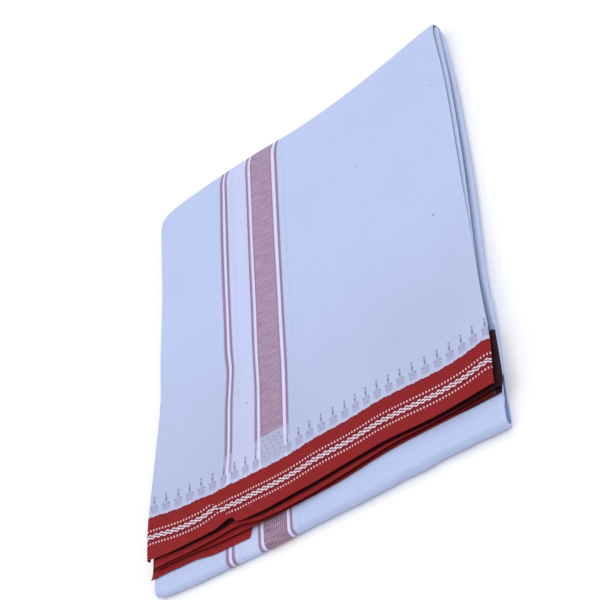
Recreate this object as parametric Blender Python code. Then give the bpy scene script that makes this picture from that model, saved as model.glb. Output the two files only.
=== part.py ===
"""A dhoti, folded flat: one woven cotton length with a red border along both selvedges.

The length is folded into eight panels, and that long pack twice across its width. All the
borders come together at the near side, above the thick white roll of the first fold. The
outermost leaf shows on top, goes round the far fold and lies under the stack.

X runs along the near border, Y from the border to the far fold, Z up. The origin is on the
floor under the middle of the stack. Tables are in millimetres, and TABLE_SHIFT is added to
their Y.
"""

import math
from bisect import bisect_right
from collections import namedtuple

import bmesh
import bpy
import numpy as np

MM = 0.001

# Driving dimensions
STACK_HEIGHT = 14.0
LEAF_WALL = 1.3
SEAM_GAP = 0.3
HALF_TURN = 180.0
TABLE_SHIFT = -2.4  # brings the middle of the stack over the origin

# The outermost leaf: its panel between the side folds, and how its margins curl under
TOP_LEFT = -123.7
TOP_RIGHT = 134.6
TOP_LEFT_CURL = 1.8
TOP_LEFT_TURN = 150.0
TOP_RIGHT_CURL = 1.7
TOP_RIGHT_TURN = 100.0
FLARE_FADE = 3.0
LIP_FADE = 5.0
FAR_FADE = 6.0
FAR_DROP = 2.6
FAR_DROP_START = 0.952
FAR_BULGE = 7.8
FAR_LEAN = 26.0
FAR_TUCK = 10.0
UNDER_SEAM = 0.9

# The near roll and the leaf under the stack
ROLL_BULGE = 4.0
ROLL_INNER_END = -126.0
UNDER_CURL = 1.5
UNDER_TURN = 90.0
UNDER_LEFT = -124.5
UNDER_RIGHT = 133.6

# The borders of the hidden leaves, between the top leaf and the roll
BORDER_INNER_END = -86.0
END_LEAF_INNER_END = -128.5
BORDER_CURL = 1.6

# The hidden layers: the lower bundle fills the roll, the upper one stops behind the borders
LOWER_BOTTOM = 2.2
LOWER_TOP = 7.7
LOWER_LEFT_STEP = 0.8
LOWER_BULGE = 3.0
ROLL_FILL_TOP = 4.5
ROLL_FILL_INSET = 4.0
ROLL_FILL_END = -125.4
FAR_BOTTOM = 3.2
FAR_BOTTOM_FROM = 130.0
FAR_FILL = 2.4
FAR_LEFT_INSET = 3.0
UPPER_BOTTOM = 7.2
UPPER_NEAR_END = -84.0
UPPER_LEFT_STEP = -0.4
UPPER_RIGHT_STEP = 1.1
UPPER_BULGE = 2.4
UPPER_CLEARANCE = 0.7
SIDE_STEPS = 6

WHITE_COTTON = (0.62, 0.66, 0.80, 1.0)
RED_BORDER = (0.30, 0.025, 0.035, 1.0)
CLOTH_ROUGHNESS = 0.85

# The lip of the top leaf, from left to right: where its selvedge lies, and how far it
# droops or lifts. The step at -55 is the small tuck that crosses the border.
Lip = namedtuple("Lip", "along y rise")
TOP_LIP = (
    Lip(-124, -132.4, -0.9),
    Lip(-117, -133.9, -0.5),
    Lip(-106, -135.4, -0.1),
    Lip(-90, -136.0, 0.0),
    Lip(-70, -136.3, 0.2),
    Lip(-62, -135.0, 0.6),
    Lip(-56, -134.2, 0.9),
    Lip(-53.5, -137.5, 0.2),
    Lip(-46, -139.1, 0.0),
    Lip(-33, -140.2, 0.0),
    Lip(-8, -139.6, 0.0),
    Lip(4, -139.4, 0.0),
    Lip(40, -137.3, 0.0),
    Lip(60, -136.6, 0.2),
    Lip(96, -138.4, 0.7),
    Lip(135, -136.8, 1.2),
)

# The far fold, from left to right: where the sloping top turns into the nose of the fold,
# and how far it lies above or below the even height
Fold = namedtuple("Fold", "along y rise")
FAR_FOLD = (
    Fold(-124, 151.7, -0.5),
    Fold(-116, 155.0, 0.0),
    Fold(-85, 156.7, 0.0),
    Fold(-37, 155.9, 0.0),
    Fold(10, 153.4, -1.2),
    Fold(54, 154.1, -0.9),
    Fold(97, 157.3, 0.5),
    Fold(120, 159.6, 1.6),
    Fold(135, 160.0, 2.4),
)

# Side edges, from near to far: how far the near left corner flares out, how far the top's
# right edge draws in, and how far to the right the lower bundle stands out
Side = namedtuple("Side", "y flare draw_in ridge")
SIDES = (
    Side(-159, 10.0, 1.7, 133.2),
    Side(-148, 10.2, 1.6, 133.4),
    Side(-130, 11.0, 1.8, 134.2),
    Side(-108, 10.6, 0.2, 135.7),
    Side(-81, 7.2, 0.7, 135.9),
    Side(-60, 4.5, 0.8, 134.9),
    Side(-18, -0.2, 0.9, 136.0),
    Side(18, 0.1, 0.2, 137.1),
    Side(76, -0.9, 1.3, 137.0),
    Side(110, 0.2, 2.2, 136.2),
    Side(144, 1.4, 3.2, 134.2),
    Side(163, 3.0, 4.2, 132.6),
)

# The selvedges of the hidden leaves, from left to right, and the height of each leaf
Selvedge = namedtuple("Selvedge", "x y top")
SECOND_SELVEDGE = (
    Selvedge(-132, -139.5, 11.5),
    Selvedge(-116, -139.6, 11.6),
    Selvedge(-100, -140.4, 11.6),
    Selvedge(-79, -140.5, 11.6),
    Selvedge(-58, -139.9, 11.6),
    Selvedge(-39, -143.6, 11.5),
    Selvedge(-9, -144.2, 11.5),
    Selvedge(22, -142.4, 11.6),
    Selvedge(52, -139.5, 11.6),
    Selvedge(67, -138.8, 11.7),
    Selvedge(81, -139.1, 11.7),
    Selvedge(106, -139.0, 11.7),
    Selvedge(116, -138.5, 11.7),
    Selvedge(137, -137.5, 11.7),
)
THIRD_SELVEDGE = (
    Selvedge(-133, -139.8, 9.7),
    Selvedge(-118, -140.1, 9.7),
    Selvedge(-97, -141.2, 9.7),
    Selvedge(-81, -142.7, 9.7),
    Selvedge(-59, -143.4, 9.7),
    Selvedge(-30, -143.9, 9.7),
    Selvedge(-6, -143.9, 9.7),
    Selvedge(20, -143.3, 9.7),
    Selvedge(50, -140.5, 9.7),
    Selvedge(65, -139.8, 9.7),
    Selvedge(79, -139.7, 9.7),
    Selvedge(104, -139.9, 9.7),
    Selvedge(115, -140.2, 9.7),
    Selvedge(137, -140.0, 9.7),
)
END_SELVEDGE = (
    Selvedge(-138, -143.5, 8.0),
    Selvedge(-121, -143.8, 8.0),
    Selvedge(-112, -144.4, 8.0),
    Selvedge(-100, -144.8, 8.0),
    Selvedge(-94, -145.7, 8.0),
    Selvedge(-83, -147.6, 8.0),
    Selvedge(-69, -148.1, 8.0),
    Selvedge(-52, -148.7, 8.0),
)

# The near roll, from left to right: where its nose starts to turn, and its height
Roll = namedtuple("Roll", "x y top")
ROLL = (
    Roll(-137, -150.2, 6.2),
    Roll(-128, -152.6, 6.3),
    Roll(-92, -154.5, 6.3),
    Roll(-60, -155.4, 6.3),
    Roll(-46, -155.6, 6.3),
    Roll(-28, -155.6, 7.2),
    Roll(0, -155.4, 7.7),
    Roll(60, -155.2, 7.9),
    Roll(92, -154.5, 7.9),
    Roll(125, -155.2, 7.8),
    Roll(137, -155.2, 7.4),
)


def remove_everything():
    """Empties the scene."""
    for thing in list(bpy.data.objects):
        bpy.data.objects.remove(thing)


def cloth(name, colour):
    """A matt cotton material of one colour."""
    material = bpy.data.materials.new(name)
    material.use_nodes = True
    shader = material.node_tree.nodes["Principled BSDF"]
    shader.inputs["Base Color"].default_value = colour
    shader.inputs["Roughness"].default_value = CLOTH_ROUGHNESS
    shader.inputs["Metallic"].default_value = 0.0
    return material


def smooth(table, column, place):
    """A column of a table, on a smooth curve between its rows."""
    places = [row[0] for row in table]
    values = [getattr(row, column) for row in table]
    place = min(max(place, places[0]), places[-1])
    last = len(places) - 1
    i = min(bisect_right(places, place) - 1, last - 1)

    def slope(k):
        before, after = max(k - 1, 0), min(k + 1, last)
        return (values[after] - values[before]) / (places[after] - places[before])

    span = places[i + 1] - places[i]
    t = (place - places[i]) / span
    rise = t * t * (3 - 2 * t)
    bend_in = t * (1 - t) ** 2 * slope(i) * span
    bend_out = t * t * (1 - t) * slope(i + 1) * span
    return values[i] + (values[i + 1] - values[i]) * rise + bend_in - bend_out


def unit(vectors):
    """Vectors of length one along the last axis."""
    return vectors / np.maximum(np.linalg.norm(vectors, axis=-1, keepdims=True), 1e-9)


def directions(points, axis):
    """The direction of a grid's lines at each point, between its two neighbours."""
    steps = unit(np.diff(points, axis=axis))
    first = np.take(steps, [0], axis=axis)
    last = np.take(steps, [-1], axis=axis)
    before = np.concatenate([first, steps], axis=axis)
    after = np.concatenate([steps, last], axis=axis)
    return unit(before + after)


def new_object(name, points, faces, material):
    """An object from points in millimetres, with its faces turned outwards."""
    mesh = bpy.data.meshes.new(name)
    points = [(MM * x, MM * (y + TABLE_SHIFT), MM * z) for x, y, z in points]
    mesh.from_pydata(points, [], faces)
    work = bmesh.new()
    work.from_mesh(mesh)
    bmesh.ops.recalc_face_normals(work, faces=work.faces)
    work.to_mesh(mesh)
    work.free()
    mesh.materials.append(material)
    mesh.shade_smooth()
    mesh.set_sharp_from_angle(angle=math.radians(50))
    thing = bpy.data.objects.new(name, mesh)
    bpy.context.collection.objects.link(thing)
    return thing


def leaf(name, face, columns, rows, material):
    """A closed cloth wall. face(column, row) gives its outer side, X first, then Y."""
    outer = np.array([[face(column, row) for row in rows] for column in columns])
    normals = unit(np.cross(directions(outer, 0), directions(outer, 1)))
    inner = outer - LEAF_WALL * normals
    across, along = len(columns), len(rows)
    points = np.concatenate([outer.reshape(-1, 3), inner.reshape(-1, 3)])
    behind = across * along

    def index(i, j):
        return i * along + j

    faces = []
    for i in range(across - 1):
        for j in range(along - 1):
            quad = [index(i, j), index(i + 1, j), index(i + 1, j + 1), index(i, j + 1)]
            faces.append(quad)
            faces.append([behind + k for k in reversed(quad)])
    rim = [index(i, 0) for i in range(across)]
    rim += [index(across - 1, j) for j in range(1, along)]
    rim += [index(i, along - 1) for i in range(across - 2, -1, -1)]
    rim += [index(0, j) for j in range(along - 2, 0, -1)]
    for k, here in enumerate(rim):
        there = rim[(k + 1) % len(rim)]
        faces.append([there, here, behind + here, behind + there])
    return new_object(name, points, faces, material)


def curled(point, normal, column, left, right):
    """Turns a margin under: left and right are (radius, turn) of the two curls."""
    side = -1.0 if column < 0 else 1.0
    radius, turn = left if column < 0 else right
    share = -column if column < 0 else max(column - 1.0, 0.0)
    angle = math.radians(turn * share)
    out = side * radius * math.sin(angle)
    under = radius * (1.0 - math.cos(angle))
    x, y, z = point
    return (x + out, y - under * normal[0], z - under * normal[1])


def even(start, end, steps):
    """Evenly spaced numbers, both ends included."""
    return [start + (end - start) * k / steps for k in range(steps + 1)]


def flare(y, share):
    """How far a point is drawn to the left, by its share of the way across."""
    return smooth(SIDES, "flare", y) * (1.0 - share) ** FLARE_FADE


def top_height(along, v):
    """Height of the top leaf, from its lip at v = 0 to the far fold at v = 1."""
    lip = smooth(TOP_LIP, "rise", along) * (1.0 - v) ** LIP_FADE
    far = smooth(FAR_FOLD, "rise", along) * v**FAR_FADE
    drop = FAR_DROP * max(0.0, (v - FAR_DROP_START) / (1.0 - FAR_DROP_START)) ** 2
    return STACK_HEIGHT + lip + far - drop


def far_start(along):
    """Where the nose of the far fold has its middle, and stands on the floor."""
    return smooth(FAR_FOLD, "y", along) - FAR_BULGE * math.sin(math.radians(FAR_LEAN))


def top_face(column, row):
    """Top leaf: its panel for rows 0 to 1, the far fold to 2 and the tuck under to 3."""
    share = min(max(column, 0.0), 1.0)
    along = TOP_LEFT + (TOP_RIGHT - TOP_LEFT) * share
    near = smooth(TOP_LIP, "y", along)
    far = smooth(FAR_FOLD, "y", along)
    if row <= 1.0:
        y = near + (far - near) * row
        z = top_height(along, row)
        normal = (0.0, 1.0)
    elif row <= 2.0:
        lean = math.radians(FAR_LEAN)
        angle = lean + (math.pi - lean) * (row - 1.0)
        half = top_height(along, 1.0) / (1.0 + math.cos(lean))
        y = far_start(along) + FAR_BULGE * math.sin(angle)
        z = half * (1.0 + math.cos(angle))
        length = math.hypot(math.sin(angle) / FAR_BULGE, math.cos(angle) / half)
        normal = (math.sin(angle) / FAR_BULGE / length, math.cos(angle) / half / length)
    else:
        y = far_start(along) - FAR_TUCK * (row - 2.0)
        z = 0.0
        normal = (0.0, -1.0)
    x = along - smooth(SIDES, "draw_in", y) * share - flare(y, share)
    left = (TOP_LEFT_CURL, TOP_LEFT_TURN)
    right = (TOP_RIGHT_CURL, TOP_RIGHT_TURN)
    return curled((x, y, z), normal, column, left, right)


def top_leaf(material):
    """The leaf that shows on top, from its border over the far fold to the floor."""
    tuck = (-56.0 - TOP_LEFT) / (TOP_RIGHT - TOP_LEFT)
    step = (-53.5 - TOP_LEFT) / (TOP_RIGHT - TOP_LEFT)
    columns = even(-1.0, 0.0, 5)[:-1] + sorted(even(0.0, 1.0, 16) + [tuck, step])
    columns += even(1.0, 2.0, 3)[1:]
    rows = [0.0, 0.03, 0.07] + even(0.11, 0.95, 12) + [0.965, 0.98, 0.99]
    rows += even(1.0, 2.0, 8) + [3.0]
    return leaf("top_leaf", top_face, columns, rows, material)


def under_face(column, row):
    """Leaf under the stack for rows 0 to 1, the nose of the roll to 2, its top to 3."""
    share = min(max(column, 0.0), 1.0)
    along = UNDER_LEFT + (UNDER_RIGHT - UNDER_LEFT) * share
    near_x = along - flare(ROLL[0].y, share)
    nose = smooth(ROLL, "y", near_x)
    half = smooth(ROLL, "top", near_x) / 2
    seam = far_start(along) - FAR_TUCK - UNDER_SEAM
    if row <= 1.0:
        y = seam + (nose - seam) * row
        z = 0.0
        normal = (0.0, -1.0)
    elif row <= 2.0:
        angle = math.radians(HALF_TURN * (row - 1.0))
        y = nose - ROLL_BULGE * math.sin(angle)
        z = half * (1.0 - math.cos(angle))
        length = math.hypot(math.sin(angle) / ROLL_BULGE, math.cos(angle) / half)
        normal = (-math.sin(angle) / ROLL_BULGE / length, -math.cos(angle) / half / length)
    else:
        y = nose + (ROLL_INNER_END - nose) * (row - 2.0)
        z = 2 * half
        normal = (0.0, 1.0)
    x = along - smooth(SIDES, "draw_in", y) * share - flare(y, share)
    curl = (UNDER_CURL, UNDER_TURN)
    return curled((x, y, z), normal, column, curl, curl)


def roll_leaf(material):
    """The leaf under the stack, which comes up round the near roll and back in."""
    columns = even(-1.0, 0.0, 3)[:-1] + even(0.0, 1.0, 16) + even(1.0, 2.0, 3)[1:]
    rows = even(0.0, 1.0, 5) + even(1.0, 2.0, 7)[1:] + even(2.0, 3.0, 3)[1:]
    return leaf("roll_leaf", under_face, columns, rows, material)


def border_leaf(name, table, left, right, inner_end, material):
    """The bordered stretch of a hidden leaf. left and right are (x, turn) of its ends."""

    def face(column, row):
        share = min(max(column, 0.0), 1.0)
        along = left[0] + (right[0] - left[0]) * share
        near = smooth(table, "y", along)
        y = near + (inner_end - near) * row
        x = along + flare(near, share) - flare(y, share)
        curls = (BORDER_CURL, left[1]), (BORDER_CURL, right[1])
        return curled((x, y, smooth(table, "top", along)), (0.0, 1.0), column, *curls)

    steps = 16 if right[0] > 0 else 6
    columns = even(-1.0, 0.0, 3)[:-1] + even(0.0, 1.0, steps) + even(1.0, 2.0, 3)[1:]
    return leaf(name, face, columns, even(0.0, 1.0, 3), material)


def side_points(x, y, bottom, top, bulge):
    """A rounded side from the bottom up. A bulge below zero stands out to the left."""
    half = (top - bottom) / 2
    angles = [math.pi * turn for turn in even(0.0, 1.0, SIDE_STEPS)[1:-1]]
    return [(x + bulge * math.sin(a), y, bottom + half * (1.0 - math.cos(a))) for a in angles]


def bundle_ring(y, left, right, bottom, top_at, bulge, steps):
    """One section of a bundle: a flat bottom, a top by top_at(x) and rounded sides."""
    inner_left, inner_right = left + bulge, right - bulge
    below = [(x, y, bottom) for x in even(inner_left, inner_right, steps)]
    above = [(x, y, top_at(x)) for x in even(inner_right, inner_left, steps)]
    rising = side_points(inner_right, y, bottom, above[0][2], bulge)
    falling = side_points(inner_left, y, bottom, above[-1][2], -bulge)
    return below + rising + above + falling[::-1]


def bundle(name, rings, material):
    """A closed solid through rings of equal length."""
    count = len(rings[0])
    points = [point for ring in rings for point in ring]
    faces = [list(range(count)), list(range(len(points) - count, len(points)))]
    for k in range(len(rings) - 1):
        for i in range(count):
            after = (i + 1) % count
            base = k * count
            faces.append([base + i, base + after, base + count + after, base + count + i])
    return new_object(name, points, faces, material)


def left_edge(y):
    """The stack's left side at a place along Y, without the bulge of its layers."""
    return TOP_LEFT - smooth(SIDES, "flare", y)


def lower_ring(y, level, far_share):
    """One section of the lower bundle. far_share is 1 until it rounds off at the far end."""
    in_roll = y <= ROLL_FILL_END
    inset = ROLL_FILL_INSET if in_roll else 0.0
    top = (ROLL_FILL_TOP if in_roll else LOWER_TOP) - level
    bottom = FAR_BOTTOM if y > FAR_BOTTOM_FROM else LOWER_BOTTOM + level
    middle = STACK_HEIGHT / 2
    bottom = middle - (middle - bottom) * far_share
    left = left_edge(y) - LOWER_LEFT_STEP + inset + FAR_LEFT_INSET * (1.0 - far_share)
    right = smooth(SIDES, "ridge", y) - inset
    return bundle_ring(y, left, right, bottom, lambda x: top, LOWER_BULGE, 6)


def upper_ring(y, far_share):
    """One section of the upper bundle, which keeps clear of the top leaf."""
    far_y = min(row.y for row in FAR_FOLD)
    middle = STACK_HEIGHT / 2

    def top_at(x):
        along = min(max(x, TOP_LEFT), TOP_RIGHT)
        near = smooth(TOP_LIP, "y", along)
        share = (min(y, far_y) - near) / (smooth(FAR_FOLD, "y", along) - near)
        top = top_height(along, share) - LEAF_WALL - UPPER_CLEARANCE
        return middle + (top - middle) * far_share

    left = left_edge(y) - UPPER_LEFT_STEP + FAR_LEFT_INSET * (1.0 - far_share)
    right = TOP_RIGHT - smooth(SIDES, "draw_in", y) + UPPER_RIGHT_STEP
    return bundle_ring(y, left, right, UPPER_BOTTOM, top_at, UPPER_BULGE, 10)


def folded_core(material):
    """All hidden layers as one solid: a lower bundle and an upper one, joined."""
    far_y = min(row.y for row in FAR_FOLD)
    lower = [lower_ring(-153.4, 0.9, 1.0), lower_ring(-152.4, 0.5, 1.0)]
    for y in [-150.0, -140.0, ROLL_FILL_END, -123.5, -110.0] + even(-90.0, far_y, 7):
        lower.append(lower_ring(y, 0.0, 1.0))
    upper = [upper_ring(y, 1.0) for y in [UPPER_NEAR_END] + even(-80.0, far_y, 7)]
    for reach in (0.5, 0.8, 0.93):
        far_share = math.sqrt(1.0 - reach * reach)
        y = far_y + FAR_FILL * reach
        lower.append(lower_ring(y, 0.0, far_share))
        upper.append(upper_ring(y, far_share))
    core = bundle("folded_core", lower, material)
    joined = bundle("upper_bundle", upper, material)
    joined.hide_render = True
    joined.display_type = "WIRE"
    union = core.modifiers.new("upper bundle", "BOOLEAN")
    union.operation = "UNION"
    union.solver = "EXACT"
    union.object = joined
    return core


remove_everything()
cotton = cloth("white_cotton", WHITE_COTTON)
border = cloth("red_border", RED_BORDER)
folded_core(cotton)
roll_leaf(cotton)
border_leaf("end_leaf", END_SELVEDGE, (-134.5, 25.0), (-53.0, 20.0), END_LEAF_INNER_END, border)
border_leaf("third_leaf", THIRD_SELVEDGE, (-131.0, 25.0), (133.0, 60.0), BORDER_INNER_END, border)
border_leaf("second_leaf", SECOND_SELVEDGE, (-131.0, 45.0), (134.6, 100.0), BORDER_INNER_END, border)
top_leaf(cotton)
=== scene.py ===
"""Looks of a dhoti folded flat: thin cotton leaves with a woven red border, laid on the frame.

The top leaf carries the border, the temple row and the lengthwise stripes. Below it lie the
bordered edges of the hidden leaves, and under them the white roll of the first fold. The
hidden layers are two bundles whose sides show the folds of their leaves.

Tables are in millimetres, on the same lines as the frame: X along the near border, Y from
the border to the far fold, Z up. TABLE_SHIFT is added to their Y.
"""

import math
from collections import namedtuple

import bpy
import numpy as np
from mathutils import Matrix


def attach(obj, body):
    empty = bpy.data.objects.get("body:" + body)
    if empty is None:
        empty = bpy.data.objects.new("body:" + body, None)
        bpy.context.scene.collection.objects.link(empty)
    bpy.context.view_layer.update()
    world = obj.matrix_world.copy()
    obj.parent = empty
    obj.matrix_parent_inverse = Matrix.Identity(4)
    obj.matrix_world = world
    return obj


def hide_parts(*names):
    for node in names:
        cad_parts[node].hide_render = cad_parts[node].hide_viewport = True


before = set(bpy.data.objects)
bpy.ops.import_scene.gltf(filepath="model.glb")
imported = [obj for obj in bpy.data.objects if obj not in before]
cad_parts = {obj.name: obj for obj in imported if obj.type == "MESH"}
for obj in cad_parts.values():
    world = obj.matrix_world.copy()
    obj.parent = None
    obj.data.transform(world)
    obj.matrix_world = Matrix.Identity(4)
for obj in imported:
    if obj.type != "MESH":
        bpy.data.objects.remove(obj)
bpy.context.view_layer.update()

MM = 0.001
TABLE_SHIFT = -2.4


def table(kind, *rows):
    """A table of named rows."""
    return tuple(kind(*row) for row in rows)


# The stack and its leaves
STACK_HEIGHT = 14.0
STACK_MIDDLE = STACK_HEIGHT / 2
CLOTH_THICKNESS = 0.42
TOP_LEFT = -123.7
TOP_RIGHT = 135.3
FLARE_FADE = 3.0
LIP_FADE = 5.0
FAR_FADE = 6.0
FAR_DROP = 2.6
FAR_DROP_START = 0.952
FAR_BULGE = 7.8
FAR_LEAN = math.radians(26.0)
FAR_TUCK = 10.0
FAR_ARC = 7.5
UNDER_SEAM = 0.9
ROLL_BULGE = 4.0
NOSE_ARC = 3.9
ROLL_INNER_END = -126.0
UNDER_LEFT = -124.5
UNDER_RIGHT = 133.6

# How the margins are turned under: radius and turn in degrees
TOP_LEFT_CURL = (1.8, 150.0)
TOP_RIGHT_CURL = (0.8, 105.0)
UNDER_CURL = (1.5, 90.0)
HIDDEN_CURL_RADIUS = 1.6

# The woven border: one repeat holds one temple, two chain links and four dots
REPEAT = 8.8

Lip = namedtuple("Lip", "along y rise")
TOP_LIP = table(
    Lip,
    (-124, -132.4, -0.9),
    (-117, -133.9, -0.5),
    (-106, -135.4, -0.1),
    (-90, -136.0, 0.0),
    (-70, -136.3, 0.2),
    (-62, -135.0, 0.6),
    (-56, -134.2, 0.9),
    (-53.5, -137.5, 0.2),
    (-46, -139.1, 0.0),
    (-33, -140.2, 0.0),
    (-8, -139.6, 0.0),
    (4, -139.4, 0.0),
    (40, -137.3, 0.0),
    (60, -136.6, 0.2),
    (96, -138.4, 0.7),
    (135, -136.8, 1.2),
)

Fold = namedtuple("Fold", "along y rise")
FAR_FOLD = table(
    Fold,
    (-124, 151.7, -0.5),
    (-116, 155.0, 0.0),
    (-85, 156.7, 0.0),
    (-37, 155.9, 0.0),
    (10, 153.4, -1.2),
    (54, 154.1, -0.9),
    (97, 157.3, 0.5),
    (120, 159.6, 1.6),
    (135, 160.0, 2.4),
)

Side = namedtuple("Side", "y flare draw_in ridge")
SIDES = table(
    Side,
    (-159, 10.0, 1.7, 133.2),
    (-148, 10.2, 1.6, 133.4),
    (-130, 11.0, 1.6, 134.2),
    (-108, 10.6, 0.3, 135.7),
    (-81, 7.2, 0.8, 135.8),
    (-60, 4.5, 1.4, 134.8),
    (-18, -0.2, 1.7, 135.8),
    (18, 0.1, 2.1, 136.8),
    (76, -0.9, 2.0, 136.6),
    (110, 0.2, 2.4, 135.6),
    (144, 1.4, 4.0, 133.1),
    (163, 3.0, 4.8, 132.2),
)

Selvedge = namedtuple("Selvedge", "x y top")
SECOND_SELVEDGE = table(
    Selvedge,
    (-132, -139.5, 11.5),
    (-116, -139.6, 11.6),
    (-100, -140.4, 11.6),
    (-79, -140.5, 11.6),
    (-58, -139.9, 11.6),
    (-39, -143.6, 11.5),
    (-9, -144.2, 11.5),
    (22, -142.4, 11.6),
    (52, -139.5, 11.6),
    (67, -138.8, 11.7),
    (81, -139.1, 11.7),
    (106, -139.0, 11.7),
    (116, -138.5, 11.7),
    (137, -137.5, 11.7),
)
THIRD_SELVEDGE = table(
    Selvedge,
    (-133, -139.8, 9.6),
    (-118, -140.1, 9.6),
    (-97, -141.2, 9.5),
    (-81, -142.7, 9.4),
    (-59, -143.4, 9.3),
    (-30, -143.9, 8.9),
    (-6, -143.9, 8.9),
    (20, -143.3, 8.9),
    (50, -140.5, 8.9),
    (65, -139.8, 8.9),
    (79, -139.7, 8.9),
    (104, -139.9, 8.9),
    (115, -140.2, 8.9),
    (137, -140.0, 8.9),
)
END_SELVEDGE = table(
    Selvedge,
    (-138, -143.5, 7.4),
    (-121, -143.8, 7.4),
    (-112, -144.4, 7.4),
    (-100, -144.8, 7.3),
    (-94, -145.7, 7.3),
    (-83, -147.6, 7.2),
    (-69, -148.1, 7.2),
    (-52, -148.7, 7.2),
)

Roll = namedtuple("Roll", "x y top")
ROLL = table(
    Roll,
    (-137, -150.2, 6.2),
    (-128, -152.6, 6.3),
    (-92, -154.5, 6.3),
    (-60, -155.4, 6.3),
    (-46, -155.6, 6.3),
    (-28, -155.6, 7.2),
    (0, -155.4, 7.7),
    (60, -155.2, 7.9),
    (92, -154.5, 7.9),
    (125, -155.2, 7.8),
    (137, -155.2, 7.4),
)

# Where each temple of the border stands along X. The second one is number 0
Temple = namedtuple("Temple", "x count")
TEMPLE_PLACES = (
    -139.5, -128.9, -117.9, -106.8, -96.7, -86.4, -76.6, -66.7,
    -57.6, -48.6, -40.0, -31.2, -22.4, -13.9, -4.7, 3.9,
    13.2, 22.5, 31.5, 39.7, 47.9, 56.2, 64.9, 73.4,
    82.5, 91.7, 100.6, 109.3, 117.7, 125.8, 134.7, 143.5,
)
TEMPLES = tuple(Temple(x, count) for count, x in enumerate(TEMPLE_PLACES, -1))

# How far the border's rows run above the line Y = BORDER_LINE, and the same left of the tuck
BORDER_LINE = -138.0
Row = namedtuple("Row", "x lift")
ROW_LIFT = table(
    Row,
    (-133, 7.0), (-128, 6.2), (-122, 4.9), (-116, 3.7), (-110, 2.7), (-104, 1.9),
    (-98, 1.4), (-93, 1.1), (-87, 0.7), (-83, 0.2), (-77, -0.3), (-68, -0.5),
    (-58, -0.9), (-50, -1.2), (-40, -1.6), (-30, -2.0), (-20, -2.1), (-12, -1.9),
    (-4, -1.2), (4, -0.4), (14, -0.2), (31, -0.1), (40, 0.4), (55, 1.4),
    (70, 1.0), (97, -0.5), (110, -0.2), (117, 0.5), (124, 1.7), (131, 3.0),
    (136, 2.6),
)
ROW_LIFT_LEFT = table(
    Row,
    (-96, 1.3), (-87, 1.0), (-81, 1.6), (-77, 2.2), (-73, 2.8), (-66, 3.1),
    (-58, 2.2),
)

# The tuck, a small slanting pleat across the border, and where it fades out at its sides
TUCK_TOP = (-83.5, -110.3)
TUCK_END = (-58.3, -137.7)
TUCK_OVER = 0.55
TUCK_UNDER = 0.75
TUCK_BACK_FADE = (-104.0, -116.0)
TUCK_LEFT_FADE = (-96.0, -84.0)
TUCK_OVER_FADE = (-59.0, -56.0)
TUCK_UNDER_FADE = (-56.0, -42.0)
TUCK_STEP = (-0.9, 0.5)

# Where the lengthwise stripes lie along X, from the border to the far fold
Stripe = namedtuple("Stripe", "y first second third band_left band_right fourth")
STRIPES = table(
    Stripe,
    (-100, -66.1, -61.3, -39.7, -36.2, -16.6, -13.5),
    (-85, -64.3, -60.0, -39.1, -35.5, -16.4, -13.0),
    (-50, -63.0, -58.7, -37.8, -34.6, -15.5, -11.9),
    (-37, -61.8, -57.6, -38.0, -34.8, -15.5, -12.0),
    (-24, -61.1, -56.7, -38.4, -35.0, -15.6, -12.0),
    (-10, -62.4, -57.5, -38.5, -35.0, -15.6, -12.0),
    (16, -62.6, -58.2, -38.4, -34.9, -15.5, -11.9),
    (60, -63.5, -58.8, -38.7, -35.3, -15.8, -11.8),
    (100, -63.8, -59.0, -38.8, -35.4, -15.7, -11.6),
    (150, -63.2, -59.3, -38.9, -35.5, -15.6, -11.5),
)
STRIPE_THREADS = (52.8, 57.2, 79.2, 82.7, 101.9, 105.6)
LEFT_THREAD_SCALE = 0.82
RIGHT_THREAD_SCALE = 1.018

# The border's rows fade to straight threads over these places, counted from the selvedge
ROWS_FADE = (48.0, 90.0)
LEFT_ROWS_FADE = (27.0, 32.0)
LEFT_ROWS_START = -96


def smooth(rows, column, place):
    """A column of a table, on a smooth curve between its rows."""
    places = np.array([row[0] for row in rows], float)
    values = np.array([getattr(row, column) for row in rows], float)
    last = len(places) - 1
    place = np.clip(place, places[0], places[-1])
    i = np.clip(np.searchsorted(places, place, side="right") - 1, 0, last - 1)
    before = np.maximum(np.arange(last + 1) - 1, 0)
    after = np.minimum(np.arange(last + 1) + 1, last)
    slopes = (values[after] - values[before]) / (places[after] - places[before])
    span = places[i + 1] - places[i]
    t = (place - places[i]) / span
    rise = t * t * (3 - 2 * t)
    bend_in = t * (1 - t) ** 2 * slopes[i] * span
    bend_out = t * t * (1 - t) * slopes[i + 1] * span
    return values[i] + (values[i + 1] - values[i]) * rise + bend_in - bend_out


def ease(start, end, value):
    """Zero before start, one after end and a soft step between them."""
    t = np.clip((value - start) / (end - start), 0.0, 1.0)
    return t * t * (3 - 2 * t)


def between(start, end, share):
    """A value from start to end, by its share of the way."""
    return start + (end - start) * share


def flare(y, share):
    """How far a point is drawn to the left, by its share of the way across."""
    return smooth(SIDES, "flare", y) * (1.0 - share) ** FLARE_FADE


def across_stack(along, y, share):
    """Where a point of a whole leaf lies along X, between the stack's uneven sides."""
    return along - smooth(SIDES, "draw_in", y) * share - flare(y, share)


def tuck_side(x, y):
    """Distance from the line of the tuck, above zero on its right."""
    dx, dy = TUCK_END[0] - TUCK_TOP[0], TUCK_END[1] - TUCK_TOP[1]
    length = math.hypot(dx, dy)
    return ((x - TUCK_TOP[0]) * -dy + (y - TUCK_TOP[1]) * dx) / length


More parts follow.
